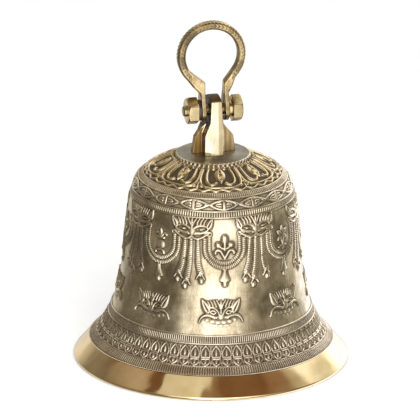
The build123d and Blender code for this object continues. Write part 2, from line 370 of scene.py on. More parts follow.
def fleur(x, y):
    """A three-lobed flower on a scrolled base."""
    side = np.abs(x)
    return merged(
        dome(side, y, 0, 110.9, 3.0, 3.8, 1.4),
        stroke(side, y, [(0.0, 108.5), (0.0, 103.0)], 1.5, 1.2, 1.1),
        dome(side, y, 4.7, 106.8, 2.8, 2.5, 1.3),
        stroke(side, y, [(4.0, 105.8), (2.2, 104.6), (0.0, 103.6)], 1.0, 1.1),
        stroke(side, y, [(0.0, 96.7), (1.5, 99.6), (3.1, 102.2), (5.2, 103.0), (6.9, 101.4)], 1.25, 1.2),
        dome(side, y, 6.6, 100.9, 1.5, 1.5, 1.2),
    )


def star_flower(x, y):
    """A flower of six pointed petals on a short leafy stem."""
    side, middle, petals = np.abs(x), 107.0, 6
    lines = merged(
        dome(x, y, 0, middle, 1.8, 1.8, 1.6),
        stroke(side, y, [(0.0, 101.0), (0.0, 96.6)], 0.8, 1.0),
        stroke(side, y, [(0.0, 97.2), (2.4, 99.0), (4.2, 98.2)], 0.85, 1.0),
    )
    for k in range(petals):
        turn = 2 * math.pi * k / petals
        tip = (6.4 * math.sin(turn), middle + 7.4 * math.cos(turn))
        lines = merged(lines, leaf(x, y, (0, middle), tip, 2.1, 1.3))
    return lines


def vase(x, y):
    """A round-bellied vase with a plume."""
    side = np.abs(x)
    return merged(
        dome(side, y, 0, 103.0, 4.0, 3.6, 1.2),
        stroke(side, y, [(0.0, 107.6), (2.8, 108.2)], 0.9, 1.1),
        leaf(side, y, (0, 108.4), (0, 115.4), 2.2, 1.2),
        stroke(side, y, [(0.8, 109.0), (3.0, 111.6), (4.8, 110.8)], 0.8, 1.0),
        stroke(side, y, [(0.0, 99.2), (2.8, 98.6), (3.6, 97.0)], 0.9, 1.1),
    )


def knot(x, y):
    """Two interlaced loops."""
    side, rise = np.abs(x), np.abs(y - 105.5)
    return merged(
        stroke(side, rise, [(0.0, 0.0), (2.6, 2.8), (5.0, 2.6), (5.4, 0.0)], 0.95, 1.1),
        stroke(side, rise, [(0.0, 0.0), (1.8, 4.6), (0.0, 7.6)], 0.95, 1.1),
        dome(side, rise, 0, 0, 1.6, 1.6, 1.3),
    )


# In their order round the bell
EMBLEMS = [fleur, star_flower, knot, vase]


# ---------------------------------------------------------------- meshes


def set_patina_and_painted_light(mesh, patina):
    """Keeps the patina of each point for the materials: below 0 rubbed bright and painted with a
    highlight, 0 plain, 1 dark, and above 1, on the lug only, darker still: deep patina on its arch and
    painted shade on its back and left sides.
    """
    layer = mesh.attributes.new("patina", "FLOAT", "POINT")
    layer.data.foreach_set("value", patina.astype(np.float32).ravel())


def place_piece(name, mesh, material, body, node):
    """Puts a finished mesh into the scene, to move with a body and stand for a CAD node."""
    mesh.materials.clear()
    mesh.materials.append(material)
    piece = bpy.data.objects.new(name, mesh)
    bpy.context.scene.collection.objects.link(piece)
    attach(piece, body)
    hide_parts(node)


def turned_mesh(name, points, patina):
    """A mesh over a grid of points: rows go up, columns go round and close on themselves."""
    rows, columns = points.shape[:2]
    mesh = bpy.data.meshes.new(name)
    mesh.vertices.add(rows * columns)
    mesh.vertices.foreach_set("co", (points * MM).astype(np.float32).ravel())
    index = np.arange(rows * columns).reshape(rows, columns)
    right = np.roll(index, -1, axis=1)
    quads = np.stack([index[:-1], right[:-1], right[1:], index[1:]], axis=-1).reshape(-1)
    count = (rows - 1) * columns
    mesh.loops.add(4 * count)
    mesh.loops.foreach_set("vertex_index", quads.astype(np.int32))
    mesh.polygons.add(count)
    mesh.polygons.foreach_set("loop_start", np.arange(0, 4 * count, 4, dtype=np.int32))
    mesh.polygons.foreach_set("use_smooth", np.ones(count, bool))
    mesh.update(calc_edges=True)
    set_patina_and_painted_light(mesh, patina)
    mesh.validate()
    return mesh


def outline_section(low, high, row):
    """The outline between two heights, in steps of about a row.

    Gives the radius and height of each step, its outward normal (out and up) and its arc length.
    """
    curve = smooth_path(OUTLINE, 60)
    steps = np.hypot(*np.diff(curve, axis=0).T)
    arc = np.concatenate([[0], np.cumsum(steps)])
    start, end = np.interp([low, high], curve[:, 1], arc)
    count = max(int(round((end - start) / row)), 2) + 1
    places = np.linspace(start, end, count)
    radius = np.interp(places, arc, curve[:, 0])
    height = np.interp(places, arc, curve[:, 1])
    slope_r, slope_z = np.gradient(radius, places), np.gradient(height, places)
    size = np.hypot(slope_r, slope_z)
    return radius, height, slope_z / size, -slope_r / size, places - start


def blurred(relief, reach):
    """The relief averaged over reach rows and columns to either side."""
    total = np.zeros_like(relief)
    for shift in range(-reach, reach + 1):
        total += np.roll(relief, shift, axis=1)
    total /= 2 * reach + 1
    padded = np.pad(total, ((reach, reach), (0, 0)), mode="edge")
    rows = relief.shape[0]
    return sum(padded[i : i + rows] for i in range(2 * reach + 1)) / (2 * reach + 1)


# How many rows to either side a place is compared with to tell a recess from a raised top
NEAR_REACH = 2
WIDE_REACH = 6
# Raised work at least this high is free of the ground's own patina
CLEAN_HEIGHT = 0.55


def recess_shade(relief, ground):
    """Patina of a relief: dark beside raised work, ground between it, below 0 on its raised tops, which
    are brightened as rubbed wear and as a painted highlight.
    """
    near = blurred(relief, NEAR_REACH) - relief
    wide = blurred(relief, WIDE_REACH) - relief
    beside = np.clip(near / 0.16, 0, 1) * 0.75 + np.clip(wide / 0.3, 0, 1) * 0.4
    low = ground * (1 - np.clip(relief / CLEAN_HEIGHT, 0, 1))
    # Raised tops go below 0: rubbed wear together with a painted highlight on the relief
    proud = np.clip(-near / 0.14, 0, 1) * 0.6 + np.clip(-wide / 0.35, 0, 1) * 0.6
    return np.clip(np.maximum(beside, low) - proud, -1, 1)


def band(
    name,
    low,
    high,
    relief_of,
    material,
    azimuth=MASK_AZIMUTH,
    fineness=WALL_FINENESS,
    by_height=False,
    ground=0.0,
    emblems=(),
):
    """One ornamental band of the bell, with a cell's middle at the azimuth.

    by_height tells that its relief takes heights above the floor. ground is the patina of its plain
    ground. The emblems stand in turn where two cells meet.
    """
    columns, row = fineness
    radius, height, out, up, arc = outline_section(low, high, row)
    per_cell = columns // CELLS
    half = radius.mean() * math.pi / CELLS
    across = (np.arange(per_cell) + 0.5 - per_cell / 2) / per_cell * 2 * half
    x, y = np.meshgrid(across, height if by_height else arc)
    relief = np.tile(relief_of(x, y, half), (1, CELLS))
    everywhere = np.tile(across, CELLS)
    cell = np.repeat(np.arange(CELLS), per_cell)
    for index, emblem in enumerate(emblems):
        for side, holder in ((-1, (index + 1) % len(emblems)), (1, index)):
            chosen = (cell % len(emblems) == holder) & (everywhere * side > 0)
            x, y = np.meshgrid(everywhere[chosen] - side * half, height)
            relief[:, chosen] = np.maximum(relief[:, chosen], emblem(x, y))
    angle = np.radians(azimuth) + 2 * math.pi * (np.arange(columns) + 0.5 - per_cell / 2) / columns
    reach = radius[:, None] + relief * out[:, None]
    level = height[:, None] + relief * up[:, None]
    points = np.stack([reach * np.cos(angle), reach * np.sin(angle), level], axis=-1)
    mesh = turned_mesh(name, points, recess_shade(relief, ground))
    place_piece(name, mesh, material, "bell", "bell_shell")


def lathe(name, outline, columns, material, ribs=0, rib_height=0.0, rib_rows=()):
    """A plain turned piece; ribs stand out from the rows named in rib_rows."""
    outline = np.array(outline, float)
    angle = 2 * math.pi * np.arange(columns) / columns
    radius = np.repeat(outline[:, :1], columns, axis=1)
    height = np.repeat(outline[:, 1:], columns, axis=1)
    wave = 0.5 + 0.5 * np.cos(ribs * (angle - math.radians(MASK_AZIMUTH)))
    patina = np.zeros_like(radius)
    for row in rib_rows:
        radius[row] += rib_height * wave
        patina[row] = 1 - 1.7 * wave
    points = np.stack([radius * np.cos(angle), radius * np.sin(angle), height], axis=-1)
    mesh = turned_mesh(name, points, patina)
    place_piece(name, mesh, material, "bell", "bell_shell")


def worn_mesh(node, voxel, rounds):
    """A CAD node's mesh, remeshed finely and smoothed a number of rounds, as if worn."""
    model = bpy.data.objects.new("model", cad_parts[node].data.copy())
    bpy.context.scene.collection.objects.link(model)
    remesh = model.modifiers.new("remesh", "REMESH")
    remesh.mode = "VOXEL"
    remesh.voxel_size = voxel * MM
    wear = model.modifiers.new("wear", "SMOOTH")
    wear.iterations = rounds
    depsgraph = bpy.context.evaluated_depsgraph_get()
    mesh = bpy.data.meshes.new_from_object(model.evaluated_get(depsgraph))
    bpy.data.objects.remove(model)
    return mesh


def worn_copy(name, node, body, material, slot, voxel, rounds, engrave=None):
    """A piece in place of a CAD node, its edges worn round, and engraved if asked."""
    mesh = worn_mesh(node, voxel, rounds)
    count = len(mesh.vertices)
    points = np.empty(3 * count, np.float32)
    normals = np.empty(3 * count, np.float32)
    mesh.vertices.foreach_get("co", points)
    mesh.vertex_normals.foreach_get("vector", normals)
    points, normals = points.reshape(-1, 3), normals.reshape(-1, 3)
    patina = np.zeros(count)
    if engrave:
        raised, patina = engrave(points / MM, normals)
        points = points + normals * (raised * MM)[:, None]
        mesh.vertices.foreach_set("co", points.astype(np.float32).ravel())
    set_patina_and_painted_light(mesh, patina)
    mesh.polygons.foreach_set("use_smooth", np.ones(len(mesh.polygons), bool))
    mesh.update()
    place_piece(name, mesh, material, body, node)


# ---------------------------------------------------------------- materials


class Nodes:
    """Short calls for building a node tree; n.place is the piece's own coordinates."""

    def __init__(self, tree):
        self.tree = tree
        self.place = self.add("ShaderNodeTexCoord").outputs["Object"]

    def add(self, kind, **values):
        """A new node with some of its settings."""
        node = self.tree.nodes.new(kind)
        for name, value in values.items():
            setattr(node, name, value)
        return node

    def put(self, socket, value):
        """Links an output to a socket, or sets the socket's value."""
        if hasattr(value, "is_output"):
            self.tree.links.new(value, socket)
        else:
            socket.default_value = value

    def math(self, operation, a, b=0.0, clamp=False):
        """The result of a calculation on one or two values."""
        node = self.add("ShaderNodeMath", operation=operation, use_clamp=clamp)
        self.put(node.inputs[0], a)
        self.put(node.inputs[1], b)
        return node.outputs[0]

    def stretched(self, sx, sy, sz):
        """The piece's own coordinates, stretched along its axes."""
        node = self.add("ShaderNodeMapping")
        self.put(node.inputs["Vector"], self.place)
        node.inputs["Scale"].default_value = (sx, sy, sz)
        return node.outputs[0]

    def noise(self, scale, detail=3.0, vector=None, rough=0.55):
        """Soft noise, scale lumps to the metre, over the piece's own coordinates or a vector."""
        node = self.add("ShaderNodeTexNoise")
        self.put(node.inputs["Vector"], self.place if vector is None else vector)
        node.inputs["Scale"].default_value = scale
        node.inputs["Detail"].default_value = detail
        node.inputs["Roughness"].default_value = rough
        return node.outputs["Fac"]

    def spread(self, value, low, high, to_low=0.0, to_high=1.0):
        """Maps a range of values onto another, held at its ends."""
        node = self.add("ShaderNodeMapRange")
        self.put(node.inputs[0], value)
        for slot, number in zip(node.inputs[1:5], (low, high, to_low, to_high)):
            slot.default_value = number
        return node.outputs[0]

    def mix(self, factor, first, second):
        """The first colour where the factor is 0, and the second where it is 1."""
        node = self.add("ShaderNodeMix", data_type="RGBA")
        self.put(node.inputs["Factor"], factor)
        for socket, value in zip(node.inputs[6:8], (first, second)):
            self.put(socket, value if hasattr(value, "is_output") else (*value, 1.0))
        return node.outputs[2]

    def bump(self, height, strength, depth, over=None):
        """A bumpy normal, over another one if given."""
        node = self.add("ShaderNodeBump")
        if over:
            self.put(node.inputs["Normal"], over)
        node.inputs["Strength"].default_value = strength
        node.inputs["Distance"].default_value = depth
        self.put(node.inputs["Height"], height)
        return node.outputs[0]


def new_material(name):
    """A new material with its node helper and its surface shader."""
    material = bpy.data.materials.new(name)
    material.use_nodes = True
    surface = material.node_tree.nodes["Principled BSDF"]
    return material, Nodes(material.node_tree), surface


def patina_and_painted_light_of(n):
    """The patina kept in the mesh, with its painted highlight and painted shade."""
    return n.add("ShaderNodeAttribute", attribute_name="patina").outputs["Fac"]


def proud_edges(n):
    """1 along edges that stand out, 0 on flats."""
    return n.spread(n.add("ShaderNodeNewGeometry").outputs["Pointiness"], 0.5, 0.56)


def with_blots(n, stains, clouds, blots):
    """Adds large soft stains at given places; the clouds make their outlines uneven."""
    for azimuth, radius, height, reach in blots:
        turn = math.radians(azimuth + CAMERA_AZIMUTH - 90.0)
        away = n.add("ShaderNodeVectorMath", operation="DISTANCE")
        n.put(away.inputs[0], n.place)
        away.inputs[1].default_value = (
            radius * MM * math.cos(turn),
            radius * MM * math.sin(turn),
            height * MM,
        )
        uneven = n.math("ADD", away.outputs["Value"], n.spread(clouds, 0.3, 0.7, 0.012, -0.012))
        stains = n.math("MAXIMUM", stains, n.spread(uneven, 0.4 * reach * MM, reach * MM, 0.95, 0.0))
    return stains


# How finely a brushed surface is streaked along X, Y and Z
TURNED_BRUSH = (700, 700, 60)
CAST_BRUSH = (300, 300, 300)
LUG_BRUSH = (300, 300, 40)

OLIVE_STAIN = (0.24, 0.19, 0.10)

# How far rubbing, together with a painted highlight, brightens the metal and smooths it, and how far
# recesses darken and roughen it
RUBBED_AND_HIGHLIGHT_BRIGHT = 0.4
RUBBED_SMOOTH = 0.08
RECESS_DARK = 0.97
RECESS_ROUGH = 0.28
# How far edges that stand out are lightened, as wear and as a painted edge highlight
EDGE_WEAR_AND_HIGHLIGHT = 0.4
# Share of the recess colour kept where patina passes 1: soot on the lug's arch, painted shade on its
# back and left sides
SOOT_AND_SHADE_SHARE = 0.15

# Depth of brush marks and of the slow waves in the surface, in metres
BRUSH_DEPTH = 0.0002
WAVE_DEPTH = 0.002
TURNING_DEPTH = 0.0001
TURNED_WAVE_DEPTH = 0.0015


def antique_brass(
    name,
    light,
    middle,
    recess,
    roughness,
    brush=TURNED_BRUSH,
    grime=0.6,
    dull=0.45,
    stain=OLIVE_STAIN,
    blots=(),
):
    """Aged brass: brightened on its tops as rubbed wear and as a painted highlight, dark and dull in its
    recesses, stained and brushed.

    Its colour wanders between light and middle. grime is how strong stains and dirt are, and dull
    how much less metallic the recesses are.
    """
    material, n, surface = new_material(name)
    patina = patina_and_painted_light_of(n)
    clouds = n.noise(45, 4)
    specks = n.noise(900, 3, rough=0.7)
    streaks = n.noise(1.0, 4, n.stretched(*brush))

    cloudy = n.spread(clouds, 0.35, 0.68, 0.0, 0.75)
    streaky = n.spread(streaks, 0.3, 0.75, 0.0, 0.5)
    tone = n.math("ADD", cloudy, streaky, clamp=True)
    stains = n.spread(n.noise(32, 6, rough=0.72), 0.46, 0.64, 0.0, 0.8)
    stains = with_blots(n, stains, clouds, blots)
    aged = n.mix(n.math("MULTIPLY", stains, grime), n.mix(tone, light, middle), stain)
    # Rubbed tops: real wear, brightened further as a painted highlight on the relief
    rubbed = n.math("MULTIPLY", patina, -RUBBED_AND_HIGHLIGHT_BRIGHT, clamp=True)
    metal = n.mix(rubbed, aged, tuple(0.2 + 0.8 * part for part in light))

    dirt = n.math("MULTIPLY", n.spread(specks, 0.45, 0.75), n.spread(clouds, 0.4, 0.7, 0.15, 0.7))
    dirt = n.math("SUBTRACT", n.math("MULTIPLY", dirt, grime), rubbed)
    dark = n.math("MAXIMUM", n.math("MULTIPLY", patina, RECESS_DARK), dirt, clamp=True)
    # Edges that stand out lose their dark: wear, and a painted edge highlight
    dark = n.math("SUBTRACT", dark, n.math("MULTIPLY", proud_edges(n), EDGE_WEAR_AND_HIGHLIGHT), clamp=True)
    # Patina above 1, found only on the lug, goes nearly black: deep patina on its arch, painted shade on
    # its back and left-facing sides
    deepest_patina_and_shade = n.math("SUBTRACT", patina, 1.0, clamp=True)
    soot = tuple(SOOT_AND_SHADE_SHARE * part for part in recess)
    n.put(surface.inputs["Base Color"], n.mix(deepest_patina_and_shade, n.mix(dark, metal, recess), soot))
    n.put(surface.inputs["Metallic"], n.spread(dark, 0, 1, 1.0, 1.0 - dull))

    gloss = n.math("ADD", roughness, n.spread(streaks, 0.3, 0.7, -0.05, 0.1))
    gloss = n.math("SUBTRACT", gloss, n.math("MULTIPLY", rubbed, RUBBED_SMOOTH))
    n.put(surface.inputs["Roughness"], n.math("ADD", gloss, n.math("MULTIPLY", dark, RECESS_ROUGH)))
    fine = n.math("ADD", n.math("MULTIPLY", streaks, 0.6), n.math("MULTIPLY", specks, 0.7))
    waves = n.bump(n.noise(34, 2), 1.0, WAVE_DEPTH)
    n.put(surface.inputs["Normal"], n.bump(fine, 0.35, BRUSH_DEPTH, waves))
    return material


def polished_brass(name, colour, shade, roughness):
    """Bright brass with faint turning lines and slight tarnish clouds."""
    material, n, surface = new_material(name)
    lines = n.noise(1.0, 3, n.stretched(20, 20, 2200))
    specks = n.noise(700, 2)
    clouds = n.spread(n.noise(60, 3), 0.38, 0.7, 0, 0.8)
    tarnish = n.math("ADD", clouds, n.math("MULTIPLY", patina_and_painted_light_of(n), 0.8), clamp=True)
    n.put(surface.inputs["Base Color"], n.mix(tarnish, colour, shade))
    surface.inputs["Metallic"].default_value = 1.0
    n.put(surface.inputs["Roughness"], n.math("ADD", roughness, n.spread(lines, 0.3, 0.7, -0.02, 0.06)))
    fine = n.math("ADD", lines, n.math("MULTIPLY", specks, 0.3))
    waves = n.bump(n.noise(22, 2), 1.0, TURNED_WAVE_DEPTH)
    n.put(surface.inputs["Normal"], n.bump(fine, 0.12, TURNING_DEPTH, waves))
    return material


def dark_metal(name, colour, rust, roughness):
    """Blackened steel with brown blotches."""
    material, n, surface = new_material(name)
    blotch = n.spread(n.noise(220, 4), 0.42, 0.7)
    fine = n.noise(1500, 2)
    n.put(surface.inputs["Base Color"], n.mix(blotch, colour, rust))
    n.put(surface.inputs["Metallic"], n.spread(blotch, 0, 1, 0.9, 0.5))
    n.put(surface.inputs["Roughness"], n.spread(blotch, 0, 1, roughness, roughness + 0.2))
    n.put(surface.inputs["Normal"], n.bump(fine, 0.3, TURNING_DEPTH))
    return material


# Large soft stains on the wall: angle from the camera (positive to its right), radius, height, reach
WALL_BLOTS = [
    (-32, 68, 60, 24),
    (-24, 67, 84, 13),
    (-58, 64, 98, 26),
    (40, 68, 62, 20),
    (52, 64, 112, 20),
    (150, 66, 80, 30),
]

WALL_METAL = antique_brass(
    "wall_antique_brass",
    light=(0.90, 0.76, 0.48),
    middle=(0.56, 0.44, 0.24),
    recess=(0.045, 0.034, 0.018),
    roughness=0.26,
    grime=0.8,
    blots=WALL_BLOTS,
)
SHOULDER_METAL = antique_brass(
    "shoulder_antique_brass",
    light=(0.78, 0.61, 0.30),
    middle=(0.50, 0.36, 0.15),
    recess=(0.03, 0.02, 0.01),
    roughness=0.26,
)
FOOT_METAL = antique_brass(
    "foot_antique_brass",
    light=(0.80, 0.67, 0.44),
    middle=(0.52, 0.40, 0.22),
    recess=(0.06, 0.043, 0.024),
    roughness=0.27,
)
DISK_METAL = antique_brass(
    "disk_dull_brass",
    light=(0.46, 0.41, 0.29),
    middle=(0.22, 0.195, 0.14),
    recess=(0.05, 0.045, 0.035),
    roughness=0.4,
)
LIP_METAL = polished_brass("lip_polished_brass", (0.94, 0.73, 0.37), (0.78, 0.53, 0.22), 0.04)
INSIDE_METAL = polished_brass("inside_turned_brass", (0.66, 0.48, 0.22), (0.45, 0.31, 0.13), 0.24)
LUG_METAL = antique_brass(
    "lug_polished_brass",
    light=(0.84, 0.75, 0.48),
    middle=(0.74, 0.61, 0.34),
    recess=(0.29, 0.165, 0.035),
    roughness=0.12,
    brush=LUG_BRUSH,
    grime=0.1,
    dull=0.1,
)
SHACKLE_METAL = antique_brass(
    "shackle_antique_brass",
    light=(0.80, 0.64, 0.32),
    middle=(0.38, 0.26, 0.10),
    recess=(0.05, 0.03, 0.012),
    roughness=0.15,
    brush=CAST_BRUSH,
    grime=0.9,
    stain=(0.17, 0.10, 0.035),
)
FASTENER_METAL = antique_brass(
    "fastener_brass",
    light=(0.78, 0.61, 0.31),
    middle=(0.54, 0.405, 0.18),
    recess=(0.09, 0.055, 0.025),
    roughness=0.17,
    brush=CAST_BRUSH,
    grime=0.3,
)
BOLT_METAL = antique_brass(
    "bolt_brass",
    light=(0.50, 0.385, 0.18),
    middle=(0.35, 0.26, 0.11),
    recess=(0.09, 0.055, 0.025),
    roughness=0.2,
    brush=CAST_BRUSH,
    grime=0.4,
)
CLAPPER_METAL = antique_brass(
    "clapper_antique_brass",
    light=(0.60, 0.46, 0.25),
    middle=(0.38, 0.28, 0.14),
    recess=(0.05, 0.035, 0.02),
    roughness=0.36,
    brush=CAST_BRUSH,
)
STEEL = dark_metal("dark_steel", (0.11, 0.10, 0.09), (0.12, 0.07, 0.035), 0.38)


# ---------------------------------------------------------------- pieces of the bell

RIM_INNER_RADIUS = 94.6
STUD_BORE_RADIUS = 5.1
CEILING_RADIUS = 20.0
CEILING_HEIGHT = 149.4

# The wall thickens towards the lip, mostly below the fade's height
WALL_THICKNESS = 4.2
LIP_THICKNESS = 7.0
LIP_FADE = 12.0

INSIDE_COLUMNS = 480
INSIDE_ROW = 1.5
LIP_COLUMNS = 720
LIP_ROW = 0.6

# The crown disk and its ribbed edge, from the outside in: radius and height
DISK_EDGE = [
    (28.2, 153.6),
    (27.4, 153.9),
    (27.2, 154.4),
    (27.0, 155.2),
    (26.9, 155.9),
    (26.6, 156.35),
    (26.2, 156.4),
]
DISK_TOP = [(26.2, 156.4), (25.6, 156.3), (20.5, 156.8), (15.4, 157.35), (15.0, 157.4), (9.0, 157.4)]
DISK_RIBS = 48
DISK_RIB_HEIGHT = 0.9
DISK_RIB_ROWS = (1, 2, 3, 4)
DISK_EDGE_COLUMNS = 960
DISK_COLUMNS = 360


def build_walls():
    """The ornamented bands from the foot to the shoulder."""
    upper = (upper_wall_relief, WALL_METAL)
    lower = (lower_wall_relief, WALL_METAL, LOWER_MASK_AZIMUTH)
    foot = (foot_relief, FOOT_METAL)
    band("bell_foot", LIP_TOP, FOOT_TOP, *foot, fineness=FOOT_FINENESS, ground=0.5)
    band("bell_wall_low", FOOT_TOP, LOWER_WALL_TOP, *lower, by_height=True)
    band("bell_wall_middle", LOWER_WALL_TOP, MID_WALL_TOP, *upper, by_height=True)
    band("bell_wall_high", MID_WALL_TOP, WALL_TOP, *upper, by_height=True, emblems=EMBLEMS)
    band("bell_belt", WALL_TOP, BELT_TOP, belt_relief, WALL_METAL, ground=0.08)
    band("bell_shoulder", BELT_TOP, SHOULDER_TOP, shoulder_relief, SHOULDER_METAL, ground=0.95)


def inner_outline():
    """The inside of the wall from the ceiling down to the rim."""
    radius, height, out, up, _ = outline_section(OUTLINE[0][1], SHOULDER_TOP, INSIDE_ROW)
    depth = WALL_THICKNESS + (LIP_THICKNESS - WALL_THICKNESS) * np.exp(-height / LIP_FADE)
    inner_radius, inner_height = radius - out * depth, height - up * depth
    kept = (inner_height > 1.0) & (inner_height < CEILING_HEIGHT - 0.5) & (inner_radius > CEILING_RADIUS)
    return list(zip(inner_radius[kept][::-1], inner_height[kept][::-1]))


def build_lip():
    """The polished lip with its flat rim, and the plain turned inside of the bell."""
    ceiling = [
        (STUD_BORE_RADIUS, CEILING_HEIGHT + 2),
        (STUD_BORE_RADIUS, CEILING_HEIGHT),
        (STUD_BORE_RADIUS + 0.4, CEILING_HEIGHT),
        (CEILING_RADIUS, CEILING_HEIGHT),
    ]
    inner_corner = [(RIM_INNER_RADIUS - 0.2, 0.3), (RIM_INNER_RADIUS, 0.05)]
    rim = [(RIM_INNER_RADIUS + 0.3, 0.0), (98.2, 0.0), (98.9, 0.12), (99.7, 0.9), (100.2, 1.7)]
    radius, height, _, _, _ = outline_section(OUTLINE[0][1], LIP_TOP, LIP_ROW)
    outside = list(zip(radius, height))
    lathe("bell_inside", ceiling + inner_outline() + inner_corner, INSIDE_COLUMNS, INSIDE_METAL)
    lathe("bell_lip", inner_corner[1:] + rim + outside, LIP_COLUMNS, LIP_METAL)


def build_disk():
    """The dull crown disk on which the lug stands, and its ribbed edge."""
    ribs = (DISK_RIBS, DISK_RIB_HEIGHT, DISK_RIB_ROWS)
    lathe("bell_disk_edge", DISK_EDGE, DISK_EDGE_COLUMNS, WALL_METAL, *ribs)
    lathe("bell_disk", DISK_TOP, DISK_COLUMNS, DISK_METAL)


# ---------------------------------------------------------------- fittings

# The round part of the shackle: the middle of its circle, the strap's middle radius and half
# width, and how far down and aside it reaches before the legs begin
LOOP_X = -2.2
LOOP_HEIGHT = 231.4
LOOP_MIDDLE_RADIUS = 22.6
STRAP_HALF_WIDTH = 3.05
LOOP_REACH_DOWN = 13
LOOP_REACH_ASIDE = 15
LEGS_TOP = 216.0

# Spacing of the engraved leaves and of the rope twist
LEAF_PITCH = 2.9
ROPE_PITCH = 2.6


def loop_engraving(points, normals):
    """Leaf grooves between two border lines on the loop's faces, and a rope twist on its outside.

    The patina is dark in the grooves and in sooty stretches, the legs grow darker downwards, and the
    inner side of the loop is darkened as painted shade.
    """
    x, z = points[:, 0] - LOOP_X, points[:, 2] - LOOP_HEIGHT
    radius = np.hypot(x, z)
    along = np.arctan2(x, z) * LOOP_MIDDLE_RADIUS
    across = np.abs(radius - LOOP_MIDDLE_RADIUS)
    round_part = (z > -LOOP_REACH_DOWN) | (np.abs(x) > LOOP_REACH_ASIDE)
    on_loop = round_part & (across < STRAP_HALF_WIDTH + 0.6)
    face = np.clip((np.abs(normals[:, 1]) - 0.75) / 0.15, 0, 1) * on_loop
    leaves = np.clip(np.cos(2 * math.pi * (along / LEAF_PITCH + 0.3 * across)) + 0.1, 0, 1)
    worn = 0.55 + 0.45 * np.sin(along / 7.0 + 1.0) * np.sin(along / 3.7)
    groove = leaves * (across < 1.35) * face * worn
    border = hump((across - 1.6) / 0.4) * face
    edge = np.clip((radius - LOOP_MIDDLE_RADIUS - 2.2) / 0.6, 0, 1) * (1 - face) * on_loop
    rope = np.clip(np.cos(2 * math.pi * (along / ROPE_PITCH + points[:, 1] / 3.6)), -0.2, 1)
    raised = -0.2 * groove - 0.15 * border - 0.16 * rope * edge
    # Painted shade: the loop's inner side, turned towards its middle, is darkened
    inside = np.clip(-normals[:, 0] * x / radius - normals[:, 2] * z / radius, 0, 1) * on_loop
    legs = np.clip((LEGS_TOP - points[:, 2]) / 14, 0, 1) * 0.5
    middle = 0.6 * np.clip(1.2 - across / 2.2, 0, 1) * face
    uneven = np.sin(along / 5.3 + 2.2) * np.sin(along / 9.0 + 0.4) + 0.1 * np.sin(along * 1.7)
    soot = 0.8 * np.clip(uneven, 0, 1) * on_loop
    marks = groove * 0.5 + border * 0.5 + rope * edge * 0.4 + 0.8 * inside + legs + middle + soot
    return raised, np.clip(marks, 0, 1) - 0.22


# Where the lug's left wing ends, its right wing begins, and its arch begins
LEFT_WING = -9.4
RIGHT_WING = 6.3
ARCH_HEIGHT = 172


def lug_patina_and_painted_shade(points, normals):
    """The lug is polished in front, streaked to the right, patinated dark on its arch and wings, and
    darkened as painted shade on its back and left-facing sides.
    """
    x, y, z = points.T
    facing = np.clip((-normals[:, 1] - 0.5) / 0.3, 0, 1)
    high = np.clip((z - ARCH_HEIGHT) / 6, 0, 1)
    # Painted shade: the back of the lug and its left-facing sides near the middle are darkened, front
    # faces excepted
    painted_back_shade = np.clip((y + 1.0) / 3, 0, 1)
    left = np.clip((-normals[:, 0] - 0.5) / 0.3, 0, 1) * (np.abs(x) < 11)
    aged = np.maximum(np.maximum(high, painted_back_shade), 0.7 * left) * (1 - facing) * 1.8
    wing = (x < LEFT_WING) | (x > RIGHT_WING)
    wing_dark = np.where(x < 0, 1.0, 0.84) + 0.1 * np.sin(x * 1.7)
    streaks = 0.58 * np.clip((x - 0.4) / 1.2, 0, 1) + 0.2 * hump((x + 5.0) / 1.2)
    dark = np.where(wing, wing_dark, aged + streaks * facing)
    return np.zeros(len(points)), dark * 1.1 - 0.1


# Worn pieces: name, CAD node, body, metal, slot, voxel size, rounds of smoothing, and engraving
WORN_PIECES = [
    ("crown_lug", "crown_block", "bell", LUG_METAL, "polished_brass", 0.3, 5, lug_patina_and_painted_shade),
    ("shackle_loop", "shackle", "shackle", SHACKLE_METAL, "antique_brass", 0.35, 4, loop_engraving),
    ("hex_bolt", "shackle_bolt", "shackle", BOLT_METAL, "fastener_brass", 0.3, 5),
    ("hex_nut", "shackle_nut", "shackle", FASTENER_METAL, "fastener_brass", 0.3, 5),
    ("bolt_collar", "head_collar", "shackle", FASTENER_METAL, "fastener_brass", 0.25, 4),
    ("lock_washer", "nut_washer", "shackle", STEEL, "dark_steel", 0.25, 3),
    ("clapper_hanger", "clapper_staple", "bell", STEEL, "dark_steel", 0.35, 4),
    ("clapper_stem", "clapper_rod", "clapper", STEEL, "dark_steel", 0.35, 4),
    ("clapper_head", "clapper_ball", "clapper", CLAPPER_METAL, "antique_brass", 0.5, 5),
    ("clapper_knob", "clapper_tip", "clapper", FASTENER_METAL, "fastener_brass", 0.3, 4),
]


def build_fittings():
    """The lug, the shackle with its bolt, and the clapper, with their edges worn round."""
    for piece in WORN_PIECES:
        worn_copy(*piece)
    for node in ("staple_washer", "staple_nut", "clapper_pin"):
        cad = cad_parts[node]
        cad.data.materials.clear()
        cad.data.materials.append(STEEL)


# ---------------------------------------------------------------- studio

